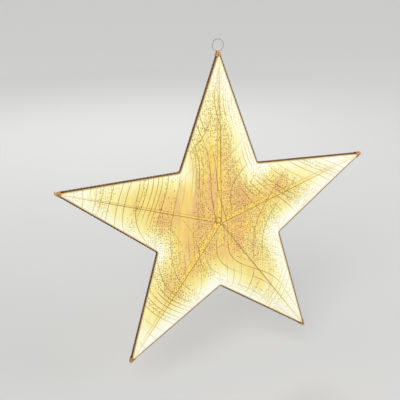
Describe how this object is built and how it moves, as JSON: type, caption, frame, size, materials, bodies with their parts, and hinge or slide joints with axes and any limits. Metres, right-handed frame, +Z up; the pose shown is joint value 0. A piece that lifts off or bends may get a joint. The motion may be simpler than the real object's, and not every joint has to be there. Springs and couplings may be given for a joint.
{
  "type": "led christmas star",
  "caption": "Shallow five-pointed star of wire and glowing cream fabric that hangs from a ring, lit along its rim, with a battery timer unit in its back.",
  "frame": {"origin": "where the hook touches the inside of the hanging ring at its top", "axes": "+Z up along the top point, +X to the viewer's right, the front faces -Y"},
  "size_m": [0.5904, 0.0301, 0.58],
  "materials": {
    "copper_paint": "satin copper-brown",
    "bright_steel": "bright drawn wire",
    "cream_fabric": "thin cream voile with gold print, lit from inside",
    "cream_plastic": "matte moulded",
    "gold_button": "satin gold",
    "lit_string": "copper wire with lit warm white drops",
    "cell_wrap": "gloss wrap",
    "board_green": "solder mask",
    "dark_plastic": "matte moulded"
  },
  "bodies": {
    "hanger": {"hang_ring": "bright_steel"},
    "star": {"rim_wire_1": "copper_paint", "rim_wire_2": "copper_paint", "rim_wire_3": "copper_paint", "rim_wire_4": "copper_paint", "rim_wire_5": "copper_paint", "tip_cap_1": "copper_paint", "tip_cap_2": "copper_paint", "tip_cap_3": "copper_paint", "tip_cap_4": "copper_paint", "tip_cap_5": "copper_paint", "front_ridge_1": "bright_steel", "front_ridge_2": "bright_steel", "front_ridge_3": "bright_steel", "front_ridge_4": "bright_steel", "front_ridge_5": "bright_steel", "rear_ridge_1": "bright_steel", "rear_ridge_2": "bright_steel", "rear_ridge_3": "bright_steel", "rear_ridge_4": "bright_steel", "rear_ridge_5": "bright_steel", "tray_screw_left": "bright_steel", "tray_screw_right": "bright_steel", "contact_plate_1": "bright_steel", "contact_plate_2": "bright_steel", "contact_plate_3": "bright_steel", "contact_plate_4": "bright_steel", "contact_spring_1": "bright_steel", "contact_spring_2": "bright_steel", "contact_spring_3": "bright_steel", "front_panel_1": "cream_fabric", "front_panel_2": "cream_fabric", "front_panel_3": "cream_fabric", "front_panel_4": "cream_fabric", "front_panel_5": "cream_fabric", "rear_panel_1": "cream_fabric", "rear_panel_2": "cream_fabric", "rear_panel_3": "cream_fabric", "rear_panel_4": "cream_fabric", "rear_panel_5": "cream_fabric", "front_hub": "cream_plastic", "rear_plate": "cream_plastic", "battery_tray": "cream_plastic", "string_lead": "cream_plastic", "string_splice": "cream_plastic", "front_button": "gold_button", "led_string": "lit_string", "battery_1": "cell_wrap", "battery_2": "cell_wrap", "battery_3": "cell_wrap", "timer_board": "board_green", "switch_body": "dark_plastic"},
    "lid": {"battery_lid": "cream_plastic"},
    "knob": {"switch_knob": "dark_plastic"}
  },
  "joints": [
    {"name": "star_swing", "type": "hinge", "parent": "hanger", "child": "star", "pos_m": [0, 0, -0.0197], "axis": [1, 0, 0], "range_deg": [-75, 75]},
    {"name": "lid_slide", "type": "slide", "parent": "star", "child": "lid", "axis": [0, 0, -1], "range_m": [0, 0.0498]},
    {"name": "knob_slide", "type": "slide", "parent": "star", "child": "knob", "axis": [1, 0, 0], "range_m": [-0.002, 0.002]}
  ]
}
